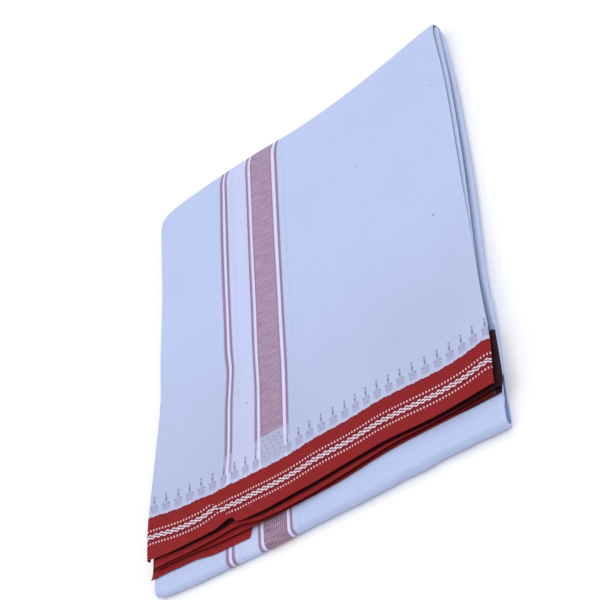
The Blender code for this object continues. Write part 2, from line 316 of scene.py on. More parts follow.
def tuck_relief(x, y):
    """Height of the tuck: its left side lies over the right one."""
    side = tuck_side(x, y)
    reach = ease(*TUCK_BACK_FADE, y) * ease(*TUCK_LEFT_FADE, x)
    over = TUCK_OVER * np.exp(np.minimum(side, 0.0) / 4.0)
    over = over * (1.0 - ease(*TUCK_OVER_FADE, x))
    under = -TUCK_UNDER * np.exp(-np.maximum(side - 6.0, 0.0) / 12.0)
    under = under * (1.0 - ease(*TUCK_UNDER_FADE, x))
    step = ease(*TUCK_STEP, side)
    return reach * (over * (1.0 - step) + under * step)


# Soft troughs and ridges of the top leaf: from one end to the other, width and height
Crease = namedtuple("Crease", "x0 y0 x1 y1 width height")
TOP_CREASES = table(
    Crease,
    (18.0, -12.0, 21.0, -32.0, 3.2, -0.35),
    (23.5, -8.0, 26.0, -30.0, 4.0, 0.22),
    (82.0, -50.0, 104.0, -61.0, 5.0, 0.30),
    (92.0, -66.0, 116.0, -72.0, 6.0, -0.32),
    (100.0, -40.0, 122.0, -84.0, 9.0, 0.22),
    (28.0, -86.0, 31.0, -102.0, 2.4, -0.22),
    (-104.0, -30.0, -82.0, 62.0, 14.0, 0.30),
    (-98.0, 96.0, -72.0, 128.0, 9.0, -0.28),
    (10.0, 40.0, 62.0, 118.0, 16.0, 0.34),
    (84.0, 24.0, 70.0, 104.0, 12.0, -0.30),
    (52.0, -6.0, 118.0, 8.0, 11.0, 0.26),
    (-118.0, -92.0, -86.0, -70.0, 8.0, -0.26),
    (40.0, 128.0, 96.0, 141.0, 7.0, 0.24),
    (-14.0, -52.0, 8.0, 22.0, 10.0, -0.24),
    (-89.0, -104.3, -56.0, -140.2, 1.5, -0.40),
)
# The same on the near roll, along X and round its nose from the floor, and under the stack
ROLL_CREASES = table(
    Crease,
    (52.0, 3.0, 70.0, 9.0, 2.6, -0.50),
    (64.0, 2.0, 88.0, 6.5, 3.0, 0.40),
    (78.0, 4.0, 96.0, 10.5, 3.4, -0.36),
    (-8.0, 2.5, -2.0, 12.0, 1.8, -0.34),
    (-3.0, 3.0, 3.0, 12.0, 2.2, 0.24),
    (18.0, 2.0, 40.0, 8.0, 3.2, 0.32),
    (106.0, 3.0, 122.0, 9.5, 3.0, -0.34),
    (-112.0, 3.0, -92.0, 8.0, 3.0, 0.30),
    (-82.0, 2.0, -70.0, 9.0, 2.4, -0.28),
)
UNDER_CREASES = table(
    Crease,
    (-96.0, -92.0, -60.0, -20.0, 9.0, 0.45),
    (-40.0, 60.0, 22.0, 98.0, 8.0, 0.40),
    (30.0, -104.0, 84.0, -70.0, 7.0, 0.50),
    (74.0, 8.0, 98.0, 92.0, 10.0, 0.42),
    (-88.0, 44.0, -70.0, 112.0, 6.0, 0.38),
    (-20.0, -48.0, 46.0, -22.0, 9.0, 0.36),
)


def crease_relief(creases, x, y):
    """Height of the hand-laid creases at a place."""
    total = np.zeros(np.broadcast(x, y).shape)
    for c in creases:
        dx, dy = c.x1 - c.x0, c.y1 - c.y0
        length = math.hypot(dx, dy)
        along = ((x - c.x0) * dx + (y - c.y0) * dy) / length
        aside = ((x - c.x0) * dy - (y - c.y0) * dx) / length
        fade = ease(0.0, 0.25 * length, along) * (1.0 - ease(0.75 * length, length, along))
        total = total + c.height * fade * np.exp(-((aside / c.width) ** 2))
    return total


# A point of a leaf, its place before the margin curls, and its run in the curl and the cloth
Place = namedtuple("Place", "point x y arc row")


def top_height(along, v):
    """Height of the top leaf, from its lip at v = 0 to the far fold at v = 1."""
    lip = smooth(TOP_LIP, "rise", along) * (1.0 - v) ** LIP_FADE
    far = smooth(FAR_FOLD, "rise", along) * v**FAR_FADE
    drop = FAR_DROP * np.maximum(0.0, (v - FAR_DROP_START) / (1.0 - FAR_DROP_START)) ** 2
    return STACK_HEIGHT + lip + far - drop


def far_start(along):
    """Where the nose of the far fold starts along Y."""
    return smooth(FAR_FOLD, "y", along) - FAR_BULGE * math.sin(FAR_LEAN)


def curled(x, y, z, normal_y, normal_z, column, left, right):
    """Turns the margins under. Returns the points, and the cloth used up by the curl."""
    side = np.where(column < 0, -1.0, 1.0)
    radius = np.where(column < 0, left[0], right[0])
    turn = np.radians(np.where(column < 0, left[1], right[1]))
    share = np.where(column < 0, -column, np.maximum(column - 1.0, 0.0))
    angle = turn * share
    under = radius * (1.0 - np.cos(angle))
    out = side * radius * np.sin(angle)
    points = np.stack([x + out, y - under * normal_y, z - under * normal_z], axis=-1)
    return points, side * radius * angle


def top_form(column, row):
    """Top leaf: its panel for rows 0 to 1, the far fold to 2 and the tuck under to 3."""
    share = np.clip(column, 0.0, 1.0)
    along = between(TOP_LEFT, TOP_RIGHT, share)
    near = smooth(TOP_LIP, "y", along)
    far = smooth(FAR_FOLD, "y", along)
    panel, under = np.clip(row, 0.0, 1.0), np.clip(row - 2.0, 0.0, 1.0)
    flat = row <= 1.0
    angle = FAR_LEAN + (math.pi - FAR_LEAN) * np.clip(row - 1.0, 0.0, 1.0)
    half = top_height(along, 1.0) / (1.0 + math.cos(FAR_LEAN))
    nose_y = far_start(along) + FAR_BULGE * np.sin(angle) - FAR_TUCK * under
    y = np.where(flat, between(near, far, panel), nose_y)
    z = np.where(flat, top_height(along, panel), half * (1.0 + np.cos(angle)))
    dropped = np.clip((panel - FAR_DROP_START) / (1.0 - FAR_DROP_START), 0.0, 1.0)
    slope = 2.0 * FAR_DROP * dropped / (1.0 - FAR_DROP_START) / (far - near)
    toward_y = np.where(flat, slope, np.sin(angle) / FAR_BULGE)
    toward_z = np.where(flat, 1.0, np.cos(angle) / half)
    length = np.hypot(toward_y, toward_z)
    x = across_stack(along, y, share)
    z = z + np.where(flat, tuck_relief(x, y) + crease_relief(TOP_CREASES, x, y), 0.0)
    points, arc = curled(
        x, y, z, toward_y / length, toward_z / length, column, TOP_LEFT_CURL, TOP_RIGHT_CURL
    )
    run = (far - near) * panel + FAR_ARC * (angle - FAR_LEAN) + FAR_TUCK * under
    return Place(points, x, y, arc, near - BORDER_LINE + run)


def panel_threads(x, y):
    """Count of the threads across the panel, where the stripes run straight."""
    knots = [smooth(STRIPES, name, y) for name in Stripe._fields[1:]]
    threads = STRIPE_THREADS[0] + (x - knots[0]) * LEFT_THREAD_SCALE
    for k in range(len(knots) - 1):
        share = (x - knots[k]) / (knots[k + 1] - knots[k])
        counted = between(STRIPE_THREADS[k], STRIPE_THREADS[k + 1], share)
        threads = np.where(x > knots[k], counted, threads)
    beyond = STRIPE_THREADS[-1] + (x - knots[-1]) * RIGHT_THREAD_SCALE
    return np.where(x > knots[-1], beyond, threads)


def top_threads(place):
    """Where each point lies in the flat cloth: across, from the selvedge, and its tuck side."""
    across = REPEAT * smooth(TEMPLES, "count", place.x) + place.arc
    keep = 1.0 - ease(*ROWS_FADE, place.row)
    lift = smooth(ROW_LIFT, "lift", place.x)
    lift_left = smooth(ROW_LIFT_LEFT, "lift", place.x)
    lift_left = np.where(place.x > LEFT_ROWS_START, lift_left, lift)
    reach = 1.0 - ease(*LEFT_ROWS_FADE, place.row)
    lift_left = between(lift, lift_left, reach)
    right = place.row - lift * keep
    left = place.row - lift_left * keep
    return across, right, left, tuck_side(place.x, place.y), panel_threads(place.x, place.y)


def under_form(column, row):
    """Leaf under the stack for rows 0 to 1, the nose of the roll to 2, its top to 3."""
    share = np.clip(column, 0.0, 1.0)
    along = between(UNDER_LEFT, UNDER_RIGHT, share)
    near_x = along - flare(ROLL[0].y, share)
    nose = smooth(ROLL, "y", near_x)
    half = smooth(ROLL, "top", near_x) / 2
    seam = far_start(along) - FAR_TUCK - UNDER_SEAM
    floor, back = np.clip(row, 0.0, 1.0), np.clip(row - 2.0, 0.0, 1.0)
    angle = math.pi * np.clip(row - 1.0, 0.0, 1.0)
    y = between(seam, nose, floor) - ROLL_BULGE * np.sin(angle)
    y = y + (ROLL_INNER_END - nose) * back
    z = half * (1.0 - np.cos(angle))
    length = np.hypot(np.sin(angle) / ROLL_BULGE, np.cos(angle) / half)
    normal_y, normal_z = -np.sin(angle) / ROLL_BULGE / length, -np.cos(angle) / half / length
    x = across_stack(along, y, share)
    relief = crease_relief(ROLL_CREASES, x, NOSE_ARC * angle) * np.sin(angle)
    y = y + normal_y * relief
    z = z + normal_z * relief
    z = z + np.where(row <= 1.0, crease_relief(UNDER_CREASES, x, y), 0.0)
    points, arc = curled(x, y, z, normal_y, normal_z, column, UNDER_CURL, UNDER_CURL)
    run = -(nose - seam) * floor + NOSE_ARC * angle + (ROLL_INNER_END - nose) * back
    return Place(points, x, y, arc, run)


# Bordered stretches of the hidden leaves, and where they end under the stack
HIDDEN_END = -95.5
END_LEAF_END = -128.5
CORNER_FADE = 8
CORNER_REACH = 3.5
DIP_REACH = 1.6


def border_form(selvedge, left, right, inner_end, dip, spread):
    """The bordered stretch of a hidden leaf. left and right are (x, turn) of its ends.

    The leaf sinks by dip behind its selvedge, whose corners lie to the right by spread."""
    left_curl = (HIDDEN_CURL_RADIUS, left[1])
    right_curl = (HIDDEN_CURL_RADIUS, right[1])

    def form(column, row):
        share = np.clip(column, 0.0, 1.0)
        along = between(left[0], right[0], share)
        near = smooth(selvedge, "y", along)
        y = between(near, inner_end, row)
        x = along + flare(near, share) - flare(y, share)
        corners = spread[0] * (1.0 - share) ** CORNER_FADE + spread[1] * share**CORNER_FADE
        x = x + corners * np.exp(-(y - near) / CORNER_REACH)
        z = smooth(selvedge, "top", along) - dip * (1.0 - np.exp(-(y - near) / DIP_REACH))
        points, arc = curled(x, y, z, 0.0, 1.0, column, left_curl, right_curl)
        return Place(points, x, y, arc, y - near)

    return form


def even(start, end, steps):
    """Evenly spaced numbers, both ends included."""
    return [start + (end - start) * k / steps for k in range(steps + 1)]


def joined(*runs):
    """Places in order. A run is (start, end, steps) and starts where the last one ends."""
    places = []
    for run in runs:
        places = places[:-1] + even(*run)
    return places


SHARP_HEM = 50.0
SHARP_BUNDLE = 70.0


def deselect_everything():
    """Leaves nothing selected."""
    for thing in bpy.context.selected_objects:
        thing.select_set(False)


def finish_piece(piece, sharp):
    """Smooth shading, but for edges that turn by more than sharp degrees."""
    deselect_everything()
    piece.select_set(True)
    bpy.context.view_layer.objects.active = piece
    bpy.ops.object.shade_smooth_by_angle(angle=math.radians(sharp))
    piece.select_set(False)


def plane_of_squares(name, columns, rows):
    """A new plane, and the column and row where each of its points belongs."""
    deselect_everything()
    bpy.ops.mesh.primitive_grid_add(
        x_subdivisions=len(columns) - 1, y_subdivisions=len(rows) - 1, size=1.0
    )
    piece = bpy.context.object
    piece.name = piece.data.name = name
    flat = np.empty(len(piece.data.vertices) * 3)
    piece.data.vertices.foreach_get("co", flat)
    flat = flat.reshape(-1, 3)
    i = np.rint((flat[:, 0] + 0.5) * (len(columns) - 1)).astype(int)
    j = np.rint((flat[:, 1] + 0.5) * (len(rows) - 1)).astype(int)
    return piece, np.array(columns)[i], np.array(rows)[j]


def lay_points(mesh, points):
    """Moves the points of a mesh to their places, given in millimetres."""
    mesh.vertices.foreach_set("co", ((points + (0.0, TABLE_SHIFT, 0.0)) * MM).ravel())


def cloth_leaf(name, form, threads, columns, rows, material):
    """A thin leaf of cloth: a plane of small squares laid on its form, then given its wall."""
    piece, column, row = plane_of_squares(name, columns, rows)
    mesh = piece.data
    place = form(column, row)
    lay_points(mesh, place.point)
    across, right, left, side, stripes = threads(place)
    set_map(mesh, "cloth", across, right)
    set_map(mesh, "tuck", side, left)
    set_map(mesh, "stripes", stripes, place.row)
    mesh.materials.append(material)
    mesh.update()
    wall = piece.modifiers.new("cloth wall", "SOLIDIFY")
    wall.thickness = CLOTH_THICKNESS * MM
    wall.offset = -1.0
    wall.use_even_offset = True
    bpy.ops.object.modifier_apply(modifier=wall.name)
    finish_piece(piece, SHARP_HEM)
    return piece


def set_map(mesh, name, across, along):
    """A UV map from values at the points, kept in metres like the mesh."""
    layer = mesh.uv_layers.new(name=name)
    corners = np.empty(len(mesh.loops), int)
    mesh.loops.foreach_get("vertex_index", corners)
    values = np.stack([across[corners] * MM, along[corners] * MM], axis=-1)
    layer.uv.foreach_set("vector", values.astype(np.float32).ravel())


# Hidden layers, in two bundles with a groove between them
LAYER_FOLDS = 6
FOLD_DEPTH = 0.4
FOLD_MIDDLE = 0.6
FOLD_UNEVEN = 0.3
LONG_DRIFT = 0.18
SHORT_DRIFT = 0.12

# The upper bundle. It stands back at its near right end
UPPER_FOOT = 7.6
UPPER_NEAR_END = -94.5
UPPER_LEFT_STEP = -0.4
UPPER_RIGHT_STEP = 1.9
UPPER_BULGE = 2.6
UPPER_SEED = 1.0
UPPER_CLEARANCE = 0.15
UPPER_EDGE_DIP = 0.9
EDGE_DIP_START = 6.5
EDGE_DIP_END = 2.6
NEAR_RECESS = 3.2
NEAR_RECESS_DIP = 1.1
RECESS_FADE = (-80.0, 40.0)

# The lower bundle. Its near end fills the roll
LOWER_FOOT = 0.6
LOWER_TOP = 7.55
LOWER_LEFT_STEP = 0.8
LOWER_BULGE = 3.0
LOWER_SEED = 4.0
ROLL_FILL_NEAR = -153.6
ROLL_FILL_END = -125.4
ROLL_FILL_STEP = 1.5
ROLL_FILL_INSET = 1.2
ROLL_FILL_CLEARANCE = 0.4
ROLL_NOSE_INSET = 2.8
NOSE_NARROWING = (-150.0, -142.0)
NOSE_ROUNDING = 1.4
NOSE_END = (-157.0, -149.0)

# The groove between the bundles, and their far ends
GROOVE_RISE = 1.2
GROOVE_RISING = (-95.0, -82.0)
GROOVE_FALL = 1.4
GROOVE_FALLING = (-60.0, 60.0)
FAR_FILL = 6.8
FAR_INSET = 4.2
FAR_EDGE_START = 60.0
FAR_STRAIGHT = float(np.min(far_start(np.linspace(TOP_LEFT, TOP_RIGHT, 40))))


def folded_side(turn, y, seed):
    """How far the folds of the layers stand out along a side, from 0 at its foot to 1."""
    drift = LONG_DRIFT * np.sin(y / 31.0 + seed) + SHORT_DRIFT * np.sin(y / 13.0 + 2.1 * seed)
    layer = turn * LAYER_FOLDS + drift
    wave = np.abs(np.sin(math.pi * layer))
    swell = np.sin(y / 19.0 + 3.0 * np.floor(layer) + seed)
    uneven = 1.0 - FOLD_UNEVEN + FOLD_UNEVEN * swell
    return FOLD_DEPTH * uneven * (np.sqrt(wave) - FOLD_MIDDLE)


def bundle_points(around, y, left, right, foot_z, top_at, bulge, seed):
    """A bundle's section: its foot to 1, the right side to 2, top to 3, left side to 4."""
    x_left, x_right = left + bulge, right - bulge
    foot, rising = np.clip(around, 0, 1), np.clip(around - 1, 0, 1)
    top, falling = np.clip(around - 2, 0, 1), np.clip(around - 3, 0, 1)
    x = between(x_left, x_right, foot - top)
    uneven = far_start(np.clip(x, TOP_LEFT, TOP_RIGHT)) - FAR_STRAIGHT
    y = y + uneven * ease(FAR_EDGE_START, FAR_STRAIGHT, y)
    height = top_at(x, y) - foot_z
    share = np.where(around <= 2, rising, 1.0 - falling)
    lift = 0.5 * (1.0 - np.cos(math.pi * share))
    bow = np.sin(math.pi * share)
    out = bulge * bow + np.sqrt(np.abs(bow)) * folded_side(lift, y, seed)
    beside = ((around > 1) & (around < 2)) | (around > 3)
    out = np.where(beside, out, 0.0) * np.where(around <= 2, 1.0, -1.0)
    return np.stack([x + out, y, foot_z + height * lift], axis=-1)


def left_edge(y):
    """The stack's left side at a place along Y, without the bulge of its layers."""
    return TOP_LEFT - smooth(SIDES, "flare", y)


def far_rounding(row):
    """Place along Y past the end of the straight part, and the share of height left there."""
    angle = 0.5 * math.pi * np.clip(row - 1.0, 0.0, 0.98)
    return FAR_FILL * np.sin(angle), np.cos(angle)


def groove_rise(y):
    """How far the groove between the bundles lies above its level under the borders."""
    return GROOVE_RISE * ease(*GROOVE_RISING, y) - GROOVE_FALL * ease(*GROOVE_FALLING, y)


def under_top_leaf(x, y):
    """Height right under the top leaf."""
    along = np.clip(x, TOP_LEFT, TOP_RIGHT)
    near = smooth(TOP_LIP, "y", along)
    far = smooth(FAR_FOLD, "y", along)
    share = (np.minimum(y, far) - near) / (far - near)
    return top_height(along, share) - CLOTH_THICKNESS - UPPER_CLEARANCE


def upper_form(around, row):
    """The upper bundle, from behind the borders to the far fold."""
    beyond, high = far_rounding(row)
    y = between(UPPER_NEAR_END, FAR_STRAIGHT, np.clip(row, 0.0, 1.0)) + beyond
    inset = FAR_INSET * (1.0 - high)
    recess = 1.0 - ease(*RECESS_FADE, y)
    left = left_edge(y) - UPPER_LEFT_STEP + inset
    right = TOP_RIGHT - smooth(SIDES, "draw_in", y) + UPPER_RIGHT_STEP - inset
    right = right - NEAR_RECESS * recess

    def top_at(x, at_y):
        dip = UPPER_EDGE_DIP + NEAR_RECESS_DIP * recess
        dip = dip * ease(right - EDGE_DIP_START, right - EDGE_DIP_END, x)
        return between(STACK_MIDDLE, under_top_leaf(x, at_y) - dip, high)

    foot = between(STACK_MIDDLE, UPPER_FOOT + groove_rise(y), high)
    return bundle_points(around, y, left, right, foot, top_at, UPPER_BULGE, UPPER_SEED)


def lower_form(around, row):
    """The lower bundle, from inside the near roll to the far fold."""
    beyond, high = far_rounding(row)
    y = between(ROLL_FILL_NEAR, FAR_STRAIGHT, np.clip(row, 0.0, 1.0)) + beyond
    in_roll = 1.0 - ease(ROLL_FILL_END, ROLL_FILL_END + ROLL_FILL_STEP, y)
    nose = NOSE_ROUNDING * (1.0 - ease(*NOSE_END, y))
    foot = between(STACK_MIDDLE, LOWER_FOOT + nose, high)
    inset = ROLL_FILL_INSET * in_roll + ROLL_NOSE_INSET * (1.0 - ease(*NOSE_NARROWING, y))
    inset = inset + FAR_INSET * (1.0 - high)
    left = left_edge(y) - LOWER_LEFT_STEP + inset
    right = smooth(SIDES, "ridge", y) - inset

    def top_at(x, at_y):
        inside_roll = smooth(ROLL, "top", x) - CLOTH_THICKNESS - ROLL_FILL_CLEARANCE - nose
        level = between(STACK_MIDDLE, LOWER_TOP + groove_rise(at_y), high)
        return between(level, inside_roll, in_roll)

    return bundle_points(around, y, left, right, foot, top_at, LOWER_BULGE, LOWER_SEED)


def layered_bundle(name, form, rows, material):
    """A bundle of layers: a plane of small squares wrapped round it and closed at both ends."""
    around = joined((0.0, 1.0, 12), (1.0, 2.0, 44), (2.0, 3.0, 24), (3.0, 4.0, 44))
    piece, turn, row = plane_of_squares(name, around, rows)
    points = form(turn, row)
    lay_points(piece.data, points)
    height = np.clip(np.where(turn <= 2.0, turn - 1.0, 4.0 - turn), 0.0, 1.0)
    set_map(piece.data, "height", height, points[:, 1])
    piece.data.update()
    bpy.ops.object.mode_set(mode="EDIT")
    bpy.ops.mesh.select_all(action="SELECT")
    bpy.ops.mesh.remove_doubles(threshold=1e-6)
    bpy.ops.mesh.fill_holes(sides=0)
    bpy.ops.mesh.normals_make_consistent(inside=False)
    bpy.ops.object.mode_set(mode="OBJECT")
    piece.data.materials.append(material)
    finish_piece(piece, SHARP_BUNDLE)
    return piece


ROOM_LIGHT = 0.58
ROOM_SEEN = 0.98
Lamp = namedtuple("Lamp", "name place spread strength")
LAMPS = table(
    Lamp,
    ("overhead light", (0.05, 0.30, 1.5), 90.0, 1.50),
    ("side light", (1.5, -0.3, 0.75), 60.0, 0.45),
)


def main_light():
    """Soft plain studio light from overhead, in a pale room that lights the sides less."""
    world = bpy.data.worlds.new("studio")
    bpy.context.scene.world = world
    world.use_nodes = True
    tree = world.node_tree
    background = tree.nodes["Background"]
    background.inputs["Color"].default_value = (1.0, 1.0, 1.0, 1.0)
    seen = tree.nodes.new("ShaderNodeLightPath").outputs["Is Camera Ray"]
    strength = scaled(seen, ROOM_SEEN - ROOM_LIGHT, ROOM_LIGHT)
    tree.links.new(strength, background.inputs["Strength"])
    for row in LAMPS:
        data = bpy.data.lights.new(row.name, "SUN")
        data.angle = math.radians(row.spread)
        data.energy = row.strength
        lamp = bpy.data.objects.new(row.name, data)
        bpy.context.collection.objects.link(lamp)
        lamp.location = row.place
        lamp.rotation_euler = lamp.location.to_track_quat("Z", "Y").to_euler()


def studio_floor():
    """The plain pale floor."""
    deselect_everything()
    bpy.ops.mesh.primitive_plane_add(size=6.0)
    floor = bpy.context.object
    floor.name = "floor"
    material = bpy.data.materials.new("pale floor")
    material.use_nodes = True
    shader = material.node_tree.nodes["Principled BSDF"]
    shader.inputs["Base Color"].default_value = (0.93, 0.93, 0.94, 1.0)
    shader.inputs["Roughness"].default_value = 0.9
    floor.data.materials.append(material)
    return floor


def studio_camera():
    """The camera, above the near right corner and turned on its side."""
    data = bpy.data.cameras.new("camera")
    data.lens = 90.0
    data.sensor_width = 36.0
    data.clip_start, data.clip_end = 0.05, 20.0
    camera = bpy.data.objects.new("camera", data)
    bpy.context.collection.objects.link(camera)
    right = (0.74463395, -0.04966095, -0.66562307)
    up = (0.45193506, 0.77137813, 0.44802957)
    back = (0.4911975, -0.63443642, 0.59683787)
    place = (0.4727275, -0.6109601, 0.58473303)
    rows = [(right[k], up[k], back[k], place[k]) for k in range(3)]
    camera.matrix_world = Matrix(rows + [(0, 0, 0, 1)])
    bpy.context.scene.camera = camera


# Materials. Sums and masks are nodes in the tree that their sockets belong to


def tree_of(values):
    """The node tree that the sockets among some values belong to."""
    return next(value.id_data for value in values if isinstance(value, bpy.types.NodeSocket))


def fill(slots, values):
    """Gives inputs their values: a socket is linked and anything else is set."""
    for slot, value in zip(slots, values):
        if isinstance(value, bpy.types.NodeSocket):
            slot.id_data.links.new(value, slot)
        else:
            slot.default_value = value


def calc(operation, *values, clamp=False):
    """One sum on sockets and numbers, and its result."""
    step = tree_of(values).nodes.new("ShaderNodeMath")
    step.operation = operation
    step.use_clamp = clamp
    fill(step.inputs, values)
    return step.outputs[0]


def times(value, *others):
    """Values multiplied. Of masks, where all of them are one."""
    for other in others:
        value = calc("MULTIPLY", value, other)
    return value


def most(value, *others):
    """The largest value. Of masks, where any of them is one."""
    for other in others:
        value = calc("MAXIMUM", value, other)
    return value


def plus(value, other):
    """Two values added."""
    return calc("ADD", value, other)


def less(value, other):
    """A value less another."""
    return calc("SUBTRACT", value, other)


def unsigned(value):
    """A value without its sign."""
    return calc("ABSOLUTE", value)


def scaled(value, factor, start):
    """A value times a factor, counted on from start."""
    return calc("MULTIPLY_ADD", value, factor, start)


def outside(mask):
    """One where a mask is zero."""
    return less(1.0, mask)


def distance(value, centre):
    """How far a value is from a centre, on either side."""
    return unsigned(less(value, centre))


def soft_step(value, start, end):
    """Zero before start, one after end."""
    ramp = tree_of([value]).nodes.new("ShaderNodeMapRange")
    ramp.interpolation_type = "SMOOTHSTEP"
    slots = [ramp.inputs[title] for title in ("Value", "From Min", "From Max")]
    fill(slots, (value, start, end))
    return ramp.outputs["Result"]


def within(value, low, high, soft):
    """One between low and high."""
    rising = soft_step(value, low - soft, low + soft)
    return times(rising, soft_step(value, high + soft, high - soft))


def near_line(value, centre, half, soft):
    """One within half of a centre line."""
    return soft_step(distance(value, centre), half + soft, half - soft)


def noise(across, along, fine_across, fine_along, detail, offset):
    """Soft random values, finer across or along the threads."""
    nodes = tree_of([across]).nodes
    place = nodes.new("ShaderNodeCombineXYZ")
    fill(place.inputs, (times(across, fine_across), times(along, fine_along), offset))
    texture = nodes.new("ShaderNodeTexNoise")
    slots = [texture.inputs[title] for title in ("Vector", "Scale", "Detail")]
    fill(slots, (place.outputs[0], 1.0, detail))
    return texture.outputs["Fac"]


def shared_group(name, work, *inputs):
    """A node group of numbers. work gives its outputs, by name, from its inputs."""
    tree = bpy.data.node_groups.new(name, "ShaderNodeTree")
    for title in inputs:
        tree.interface.new_socket(title, in_out="INPUT", socket_type="NodeSocketFloat")
    given = tree.nodes.new("NodeGroupInput").outputs
    made = work(*[given[title] for title in inputs])
    for title in made:
        tree.interface.new_socket(title, in_out="OUTPUT", socket_type="NodeSocketFloat")
    results = tree.nodes.new("NodeGroupOutput").inputs
    fill([results[title] for title in made], made.values())
    return tree


def placed(group, *values):
    """A group placed among the nodes of its values, and its outputs."""
    node = tree_of(values).nodes.new("ShaderNodeGroup")
    node.node_tree = group
    fill(node.inputs, values)
    return node.outputs


def mixed(share, first, second, kind="MIX"):
    """Two colours mixed by a mask."""
    mix = tree_of((share, first, second)).nodes.new("ShaderNodeMix")
    mix.data_type = "RGBA"
    mix.blend_type = kind
    fill((mix.inputs[0], mix.inputs[6], mix.inputs[7]), (share, first, second))
    return mix.outputs[2]


def coated(colour, *coats):
    """A colour under its coats, each of them a mask and the colour that it lays on."""
    for mask, coat in coats:
        colour = mixed(mask, colour, coat)
    return colour


def millimetres(vector, count):
    """The first parts of a place in metres, in millimetres."""
    tree = tree_of([vector])
    parts = tree.nodes.new("ShaderNodeSeparateXYZ")
    tree.links.new(vector, parts.inputs[0])
    return [times(part, 1000.0) for part in parts.outputs[:count]]


def map_place(tree, layer):
    """Across and along of a UV map."""
    uv = tree.nodes.new("ShaderNodeUVMap")
    uv.uv_map = layer
    return millimetres(uv.outputs["UV"], 2)


def piece_place(tree, count):
    """Right, back and up on the piece itself."""
    return millimetres(tree.nodes.new("ShaderNodeTexCoord").outputs["Object"], count)


THREAD_PITCH = 0.46


def plain_weave(across, along, pitch):
    """Plain weave: threads over and under, with slubs and uneven shade."""
    over = calc("SINE", times(calc("DIVIDE", across, pitch), math.pi))
    beside = calc("SINE", times(calc("DIVIDE", along, pitch), math.pi))
    ribs = plus(unsigned(over), unsigned(beside))
    height = scaled(times(over, beside), 0.35, times(ribs, 0.3))
    warp_slubs = noise(across, along, 2.1, 0.07, 3.0, 0.0)
    weft_slubs = noise(across, along, 0.05, 2.1, 3.0, 4.0)
    slubs = plus(warp_slubs, weft_slubs)
    cloud = noise(across, along, 0.03, 0.03, 2.0, 9.0)
    shade = scaled(less(slubs, 1.0), 0.10, 1.0)
    shade = scaled(less(cloud, 0.5), 0.05, shade)
    return {"Height": scaled(slubs, 0.5, height), "Shade": shade}


# Rows of the border, in millimetres from the selvedge
LOWER_DOTS = 9.0
CHAIN_ROW = 13.8
UPPER_DOTS = 18.3
GROUND_ROWS = (7.9, 19.6)
BORDER_EDGE = 28.1
TEMPLE_BLOCK = (30.6, 36.1)
TEMPLE_CORNERS = 35.4
TEMPLE_SPIRE = (35.6, 42.9)
TEMPLE_CORE = 38.8
TEMPLE_HEAD = 42.2
LAST_TEMPLE = (29.45, 29.35)
DOT_REACH = 0.56
DOT_RISE = 0.78
DOT_ROUNDNESS = 2.5
DASH_REACH = 0.95
DASH_RISE = 0.42
LINK_ENDS = (1.35, 0.7)
# The dots and links slip against the temples between these repeats
SLIP_REPEATS = (17.0, 20.5)
SLIP = -0.125


def part_of(repeats, count, middle):
    """Millimetres from the nearest middle, of the parts that a repeat is cut into."""
    turned = scaled(repeats, count, 0.5 - middle)
    return times(less(calc("FRACT", turned), 0.5), REPEAT / count)


def border_dots(repeats, along, row, middle):
    """A row of round dots, four in a repeat."""
    off = less(along, row)
    aside = scaled(off, 0.12, part_of(repeats, 4.0, middle))
    across = calc("POWER", calc("DIVIDE", unsigned(aside), DOT_REACH), DOT_ROUNDNESS)
    upwards = calc("POWER", calc("DIVIDE", unsigned(off), DOT_RISE), DOT_ROUNDNESS)
    return soft_step(plus(across, upwards), 1.35, 0.5)


def chain_dashes(repeats, level, middle, row):
    """Dark slanted dashes, one in each link of the chain."""
    aside = part_of(repeats, 2.0, middle)
    slanted = scaled(aside, 0.08, level)
    return times(near_line(aside, 0.0, DASH_REACH, 0.2), near_line(slanted, row, DASH_RISE, 0.12))


def temple_corner(aside, along, middle, half):
    """A dark slanted mark at one upper corner of each temple's block."""
    off = less(aside, middle)
    leaning = scaled(off, 0.35, along)
    return times(near_line(off, 0.0, half, 0.3), near_line(leaning, TEMPLE_CORNERS, 0.45, 0.3))


